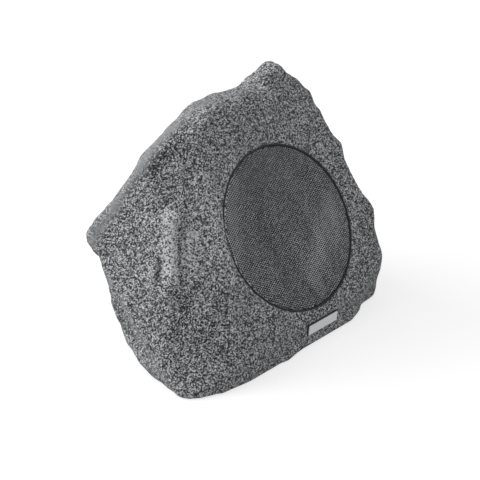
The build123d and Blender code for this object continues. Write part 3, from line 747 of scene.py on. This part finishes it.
roll = mesh_copy("surround", "surround_roll")
lip_edge = min(off_axis(corner.co) for corner in roll.data.vertices) + LIP_WIDTH
pick(roll, "FACE", lambda face: off_axis(face.center) < lip_edge)
bpy.ops.mesh.separate(type="SELECTED")
bpy.ops.object.mode_set(mode="OBJECT")
lip = next(piece for piece in bpy.context.selected_objects if piece != roll)
lip.name = "surround_lip"
for piece in (roll, lip):
    alone(piece)
    cut = open_edges(piece)
    pick(piece, "EDGE", lambda edge: edge.index in cut)
    bpy.ops.mesh.bridge_edge_loops()
    bpy.ops.mesh.select_all(action="SELECT")
    bpy.ops.mesh.normals_make_consistent(inside=False)
    bpy.ops.object.mode_set(mode="OBJECT")
    print(piece.name, "open edges left:", len(open_edges(piece)))
for corner in lip.data.vertices:
    if off_axis(corner.co) > lip_edge:
        on_axis = face_middle + face_axis * (corner.co - face_middle).dot(face_axis)
        corner.co = on_axis + (corner.co - on_axis).normalized() * (lip_edge - LIP_ROOM)
for piece, body in ((roll, "enclosure"), (lip, "diaphragm")):
    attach(piece, body)
    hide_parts("surround")

# %% [markdown]
# ## Shader expressions
# A finish is a few formulas over the surface. This class wraps a socket of a node tree, so that arithmetic
# on it adds the Math nodes, and its one other method adds any node from its settings and inputs.

# %% Wires
class Wire:
    """A socket in a material's node tree."""

    def __init__(self, tree, socket=None):
        self.tree = tree
        self.socket = socket

    def node(self, kind, inputs=None, output=0, stops=None, **settings):
        """Add a node: its settings first, then its inputs as values or wires."""
        made = self.tree.nodes.new(kind)
        for name, value in settings.items():
            setattr(made, name, value)
        for number, (place, colour) in enumerate(stops or []):
            ramp = made.color_ramp.elements
            stop = ramp[number] if number < len(ramp) else ramp.new(place)
            stop.position = place
            stop.color = colour
        for name, value in (inputs or {}).items():
            if isinstance(value, Wire):
                self.tree.links.new(value.socket, made.inputs[name])
            else:
                made.inputs[name].default_value = value
        return Wire(self.tree, made.outputs[output] if made.outputs else None)

    def maths(self, operation, first, second):
        return self.node("ShaderNodeMath", {0: first, 1: second}, operation=operation)

    def __add__(self, other):
        return self.maths("ADD", self, other)

    def __radd__(self, other):
        return self.maths("ADD", other, self)

    def __rsub__(self, other):
        return self.maths("SUBTRACT", other, self)

    def __mul__(self, other):
        return self.maths("MULTIPLY", self, other)

    def __rmul__(self, other):
        return self.maths("MULTIPLY", other, self)


def grey(value, tint=(1, 1, 1)):
    """A colour of this brightness, tinted."""
    return (value * tint[0], value * tint[1], value * tint[2], 1)


def new_finish(name):
    """A material with an empty node tree, and a wire that carries its object coordinates."""
    material = bpy.data.materials.new(name)
    material.use_nodes = True
    material.node_tree.nodes.clear()
    wire = Wire(material.node_tree)
    return material, wire.node("ShaderNodeTexCoord", output="Object")


def blended(wire, share, first, second):
    """Two colours mixed. All kinds of the Mix node share names, so its colour sockets go by number."""
    return wire.node("ShaderNodeMix", {0: share, 6: first, 7: second}, output=2, data_type="RGBA")


def surface(wire, inputs):
    """End a finish in a Principled shader with these inputs."""
    shader = wire.node("ShaderNodeBsdfPrincipled", inputs)
    wire.node("ShaderNodeOutputMaterial", {"Surface": shader})


# %% [markdown]
# ## Granite
# The finish is a sprayed coat of flecks: black, grey and pale grains of one to two millimetres. Voronoi
# cells are such grains. Each cell has one random value, and a ramp turns that value into a dark, middle or
# pale grain. Coarse and fine cells are mixed, some larger cells are dark pits, and wide soft clouds tint
# the coat a little. Where the strokes were painted, the values are moved, so that black grains give way to
# pale ones as painted highlight, or pale ones to black as painted shade, partly wear on the front ridge.
# Along the upper left edge all grains are mixed in patches to one grey. The grille has the same coat,
# but sprayed thinner, so its flecks differ less.

# %% Granite finish
GRAIN = 1.15 * MM
FINE_GRAIN = 0.7 * MM
PIT = 1.9 * MM
PIT_SHARE = 0.1
PIT_DEPTH = 0.8
TINT_SIZE = 28 * MM
TINT_LEAST = 0.8
TINT_SPAN = 0.4
# How far the layer of painted light and wear moves the flecks: paler as painted highlight, darker as painted
# shade.
PAINTED_LIGHT_SHIFT = 0.2
EDGE_GREY = 0.21
EDGE_PATCH = 9 * MM
EDGE_LEAST = 0.3
COARSE_SHARE = 0.55
FLECK_HEIGHT = 0.3 * MM
FLECK_BUMP = 0.6
DULL = 0.9
GLINT = 0.2
COOL = (0.972, 1.0, 1.032)
FLECK_STOPS = (0.36, 0.45, 0.55, 0.71)
CLOUD_DETAIL = 2.0


def clouds(place, size, output="Fac"):
    """Soft noise with features of this size."""
    return place.node(
        "ShaderNodeTexNoise", {"Vector": place, "Scale": 1 / size, "Detail": CLOUD_DETAIL}, output=output
    )


def weathering(place):
    """How pale the boulder's coat is: soft clouds, and dark pits."""
    cell = place.node("ShaderNodeTexVoronoi", {"Vector": place, "Scale": 1 / PIT}, output="Color")
    pits = place.maths("LESS_THAN", place.node("ShaderNodeSeparateColor", {"Color": cell}), PIT_SHARE)
    return (TINT_LEAST + TINT_SPAN * clouds(place, TINT_SIZE)) * (1 - PIT_DEPTH * pits)


def granite(name, shades, shade):
    """Speckled granite coat, from the shades of its flecks, black to pale, and a shade all over."""
    material, place = new_finish(name)
    shaken = place.node(
        "ShaderNodeVectorMath",
        {0: clouds(place, GRAIN, "Color"), 1: (GRAIN, GRAIN, GRAIN), 2: place},
        operation="MULTIPLY_ADD",
    )

    def flecks(size):
        cell = place.node("ShaderNodeTexVoronoi", {"Vector": shaken, "Scale": 1 / size}, output="Color")
        return place.node("ShaderNodeSeparateColor", {"Color": cell}, output="Red")

    fine = flecks(FINE_GRAIN)
    mixed = COARSE_SHARE * flecks(GRAIN) + (1 - COARSE_SHARE) * fine
    # Painted highlight and shade, partly wear: this layer moves the flecks paler or darker.
    painted = place.node("ShaderNodeAttribute", output="Fac", attribute_name="painted_light_and_wear")
    speckle = place.node(
        "ShaderNodeValToRGB",
        {"Fac": mixed + PAINTED_LIGHT_SHIFT * painted},
        stops=[(spot, grey(shade, COOL)) for spot, shade in zip(FLECK_STOPS, shades)],
    )
    coat = place.node("ShaderNodeVectorMath", {0: speckle, "Scale": shade(place)}, operation="SCALE")
    # Along the upper left edge the grains are mixed in patches to one plain grey.
    plain_edge = place.node("ShaderNodeAttribute", output="Fac", attribute_name="plain_edge")
    patches = plain_edge * (EDGE_LEAST + clouds(place, EDGE_PATCH))
    colour = blended(place, patches, coat, grey(EDGE_GREY, COOL))
    relief = place.node(
        "ShaderNodeBump", {"Strength": FLECK_BUMP, "Distance": FLECK_HEIGHT, "Height": mixed}
    )
    surface(place, {"Base Color": colour, "Roughness": DULL - GLINT * fine, "Normal": relief})
    return material


def dress(piece, material):
    """Give a piece or a node one material."""
    piece.data.materials.clear()
    piece.data.materials.append(material)


dress(boulder, granite("granite_coat", (0.0, 0.04, 0.165, 0.66), weathering))

# %% [markdown]
# ## Patterns
# Most of the other pieces are plain stuff with a pattern that tells what it is: brushed lines, turned rings,
# windings, weave. Each pattern is a height between 0 and 1 over the surface. Those that follow the
# loudspeaker need its axis, so a Mapping node turns the coordinates into the frame of the face.

# %% Lines, rings and weave
BRUSH_LENGTH = 30 * MM
BRUSH_WIDTH = 0.25 * MM
STREAK_SIZE = 24 * MM
STREAK_STRETCH = 0.35
STREAK_LEAST = 0.5


def wave(value, period):
    """A wave of this period along a value, from 0 to 1."""
    turned = value * (2 * pi / period)
    return 0.5 + 0.5 * turned.node("ShaderNodeMath", {0: turned}, operation="SINE")


def in_face(place):
    """The place in the frame of the face, with z along the loudspeaker's axis."""
    return place.node(
        "ShaderNodeMapping",
        {"Vector": place, "Location": face_middle, "Rotation": face_turn.to_euler()},
        vector_type="TEXTURE",
    )


def along(place, axis):
    """One coordinate of a place."""
    return place.node("ShaderNodeSeparateXYZ", {"Vector": place}, output=axis)


def from_axis(place):
    """Distance from the loudspeaker's axis."""
    flat = place.node("ShaderNodeVectorMath", {0: in_face(place), 1: (1, 1, 0)}, operation="MULTIPLY")
    return place.node("ShaderNodeVectorMath", {0: flat}, output="Value", operation="LENGTH")


def brushed(place):
    """Fine lines along X."""
    drawn = place.node(
        "ShaderNodeMapping",
        {"Vector": place, "Scale": (1 / BRUSH_LENGTH, 1 / BRUSH_WIDTH, 1 / BRUSH_WIDTH)},
    )
    return clouds(drawn, 1)


def streaks(place):
    """Soft paler and darker bands down the grille."""
    drawn = place.node("ShaderNodeMapping", {"Vector": in_face(place), "Scale": (1, STREAK_STRETCH, 1)})
    return STREAK_LEAST + clouds(drawn, STREAK_SIZE)


def rings(period):
    """Rings round the loudspeaker's axis."""
    return lambda place: wave(from_axis(place), period)


def turns(period):
    """Turns of a winding along the loudspeaker's axis."""
    return lambda place: wave(along(in_face(place), "Z"), period)


def weave(period):
    """Threads that cross."""
    def height(place):
        local = in_face(place)
        return 0.5 * (wave(along(local, "X"), period) + wave(along(local, "Y"), period))
    return height


def layers(axis, period):
    """Sheets stacked along an axis."""
    return lambda place: wave(along(place, axis), period)


# %% [markdown]
# ## Stuff
# One function makes the rest: moulded, painted, plated and woven stuff. Soft clouds vary its gloss, as
# handling does, and fine grain and the pattern vary its colour and its relief. The record names the finish
# of every node, and a list here says what each finish is made of.

# %% Finishes for the other nodes
HANDLED_SIZE = 18 * MM
GLOSS_SPAN = 0.24
GRAIN_SHARE = 0.35
DARKER = 0.7
LIGHTER = 1.25
GRAIN_BUMP = 0.8


def stuff(name, colour, roughness, metallic, grain, relief, pattern=None):
    """A finish of one colour, with grain, a pattern and uneven gloss."""
    material, place = new_finish(name)
    handled = clouds(place, HANDLED_SIZE)
    height = clouds(place, grain)
    if pattern:
        height = GRAIN_SHARE * height + (1 - GRAIN_SHARE) * pattern(place)
    dark = [DARKER * part for part in colour] + [1]
    light = [min(LIGHTER * part, 1) for part in colour] + [1]
    bump = place.node("ShaderNodeBump", {"Strength": GRAIN_BUMP, "Distance": relief, "Height": height})
    surface(
        place,
        {
            "Base Color": blended(place, height, dark, light),
            "Roughness": roughness - GLOSS_SPAN / 2 + GLOSS_SPAN * handled,
            "Metallic": metallic,
            "Normal": bump,
        },
    )
    return material


FINISHES = {
    "black_rubber": ((0.011, 0.011, 0.012), 0.75, 0, 0.7 * MM, 0.05 * MM, None),
    "black_cloth": ((0.008, 0.008, 0.009), 0.95, 0, 0.4 * MM, 0.15 * MM, weave(0.7 * MM)),
    "badge_metal": ((0.62, 0.63, 0.64), 0.42, 0.6, 0.5 * MM, 0.02 * MM, brushed),
    "badge_black": ((0.012, 0.012, 0.013), 0.6, 0, 0.6 * MM, 0.04 * MM, None),
    "base_plastic": ((0.03, 0.03, 0.032), 0.6, 0, 0.5 * MM, 0.08 * MM, None),
    "gland_nylon": ((0.02, 0.02, 0.021), 0.5, 0, 0.4 * MM, 0.04 * MM, None),
    "zinc_steel": ((0.6, 0.61, 0.6), 0.35, 1, 1.5 * MM, 0.02 * MM, None),
    "basket_steel": ((0.02, 0.02, 0.021), 0.45, 0, 0.5 * MM, 0.06 * MM, None),
    "black_steel": ((0.012, 0.012, 0.012), 0.8, 0, 0.4 * MM, 0.03 * MM, None),
    "cone_plastic": ((0.04, 0.04, 0.042), 0.5, 0, 0.8 * MM, 0.05 * MM, rings(0.9 * MM)),
    "cap_plastic": ((0.02, 0.02, 0.022), 0.3, 0, 0.5 * MM, 0.02 * MM, None),
    "coil_copper": ((0.75, 0.33, 0.16), 0.3, 1, 0.3 * MM, 0.06 * MM, turns(0.32 * MM)),
    "spider_cloth": ((0.5, 0.34, 0.14), 0.9, 0, 0.4 * MM, 0.12 * MM, weave(0.8 * MM)),
    "magnet_ferrite": ((0.05, 0.05, 0.052), 0.7, 0, 0.6 * MM, 0.06 * MM, None),
    "plate_steel": ((0.5, 0.5, 0.5), 0.4, 1, 0.8 * MM, 0.03 * MM, rings(0.5 * MM)),
    "strip_board": ((0.25, 0.12, 0.05), 0.6, 0, 0.6 * MM, 0.03 * MM, brushed),
    "tab_brass": ((0.7, 0.52, 0.22), 0.35, 1, 0.6 * MM, 0.02 * MM, brushed),
    "core_iron": ((0.16, 0.15, 0.15), 0.5, 0.7, 0.6 * MM, 0.12 * MM, layers("Y", 0.5 * MM)),
    "winding_tape": ((0.7, 0.5, 0.05), 0.35, 0, 1.0 * MM, 0.06 * MM, layers("Z", 3 * MM)),
    "block_nylon": ((0.6, 0.59, 0.54), 0.45, 0, 0.5 * MM, 0.03 * MM, None),
}

made = {name: stuff(name, *made_of) for name, made_of in FINISHES.items()}
sheet.data.materials[0] = granite("grille_coat", (0.22, 0.46, 0.7, 0.95), streaks)
# The hole walls, rim and back in black: painted shade in the holes.
sheet.data.materials[1] = made["black_steel"]
# Black rubber: the gasket with its bead, which is partly painted shade for the shadow gap, and the surround.
for piece in (ring, roll, lip):
    dress(piece, made["black_rubber"])
for subpart in frame["record"]["subparts"]:
    if subpart["material_slot"] in made:
        dress(nodes[subpart["node"]], made[subpart["material_slot"]])
print("dressed", len(nodes), "nodes in", len(made), "finishes")

# %% [markdown]
# ## Stage
# The photograph is cut out on white. A plain pale floor stands in for the studio table. To the camera, and
# in reflections, it glows up to white, but it still takes the shadow of the boulder. To all other rays it is
# only a pale floor that throws light back under the boulder. The world does the same as a backdrop.

# %% Floor and backdrop
FLOOR_SIZE = 16
FLOOR_DROP = 0.3 * MM
FLOOR_PAINT = 0.32
SEEN_PAINT = 0.42
SEEN_GLOW = 0.68
SKY = 0.5


def seen(wire):
    """1 for the rays that look at the stage straight, in a mirror or through glass, and 0 for the rest."""
    kinds = ("Camera", "Glossy", "Transmission")
    straight, mirrored, through = (
        wire.node("ShaderNodeLightPath", output=f"Is {kind} Ray") for kind in kinds
    )
    return wire.maths("MAXIMUM", wire.maths("MAXIMUM", straight, mirrored), through)


bpy.ops.object.select_all(action="DESELECT")
bpy.ops.mesh.primitive_plane_add(size=FLOOR_SIZE, location=(0, 0, -FLOOR_DROP))
floor = bpy.context.object
floor.name = "floor"
bpy.ops.object.transform_apply(location=True)
floor_finish, wire = new_finish("pale_floor")
hidden_floor = wire.node("ShaderNodeBsdfDiffuse", {"Color": grey(FLOOR_PAINT)})
seen_paint = wire.node("ShaderNodeBsdfDiffuse", {"Color": grey(SEEN_PAINT)})
glow = wire.node("ShaderNodeEmission", {"Color": grey(1), "Strength": SEEN_GLOW})
seen_floor = wire.node("ShaderNodeAddShader", {0: seen_paint, 1: glow})
whole_floor = wire.node("ShaderNodeMixShader", {0: seen(wire), 1: hidden_floor, 2: seen_floor})
wire.node("ShaderNodeOutputMaterial", {"Surface": whole_floor})
floor.data.materials.append(floor_finish)

world = bpy.data.worlds.new("studio")
bpy.context.scene.world = world
world.use_nodes = True
world.node_tree.nodes.clear()
wire = Wire(world.node_tree)
sky = wire.node("ShaderNodeBackground", {"Color": grey(1), "Strength": SKY + (1 - SKY) * seen(wire)})
wire.node("ShaderNodeOutputWorld", {"Surface": sky})
print("floor", FLOOR_SIZE, "m wide")

# %% [markdown]
# ## Lamps
# The photograph has one large soft lamp on the left, a bit behind the boulder: the top left edges
# are the palest, the front left is next, and the face with the grille lies half in the shade. A weak
# lamp from the front right keeps that face readable.

# %% Soft lamps
LAMPS = (
    ("key", (-0.75, 0.5, 0.45), 2.2, 1.2, 24),
    ("rim", (-0.3, 0.85, 0.55), 2.2, 1.2, 26),
    ("fill", (0.1, -0.85, 0.4), 2.2, 1.6, 5),
)
middle = (cad_box[0] + cad_box[1]) / 2

for name, direction, distance, size, power in LAMPS:
    towards = Vector(direction).normalized()
    bpy.ops.object.select_all(action="DESELECT")
    bpy.ops.object.light_add(type="AREA", location=middle + towards * distance)
    lamp = bpy.context.object
    lamp.name = name
    lamp.data.size = size
    lamp.data.energy = power
    lamp.rotation_euler = towards.to_track_quat("Z", "Y").to_euler()
print("lamps", [name for name, *_ in LAMPS])
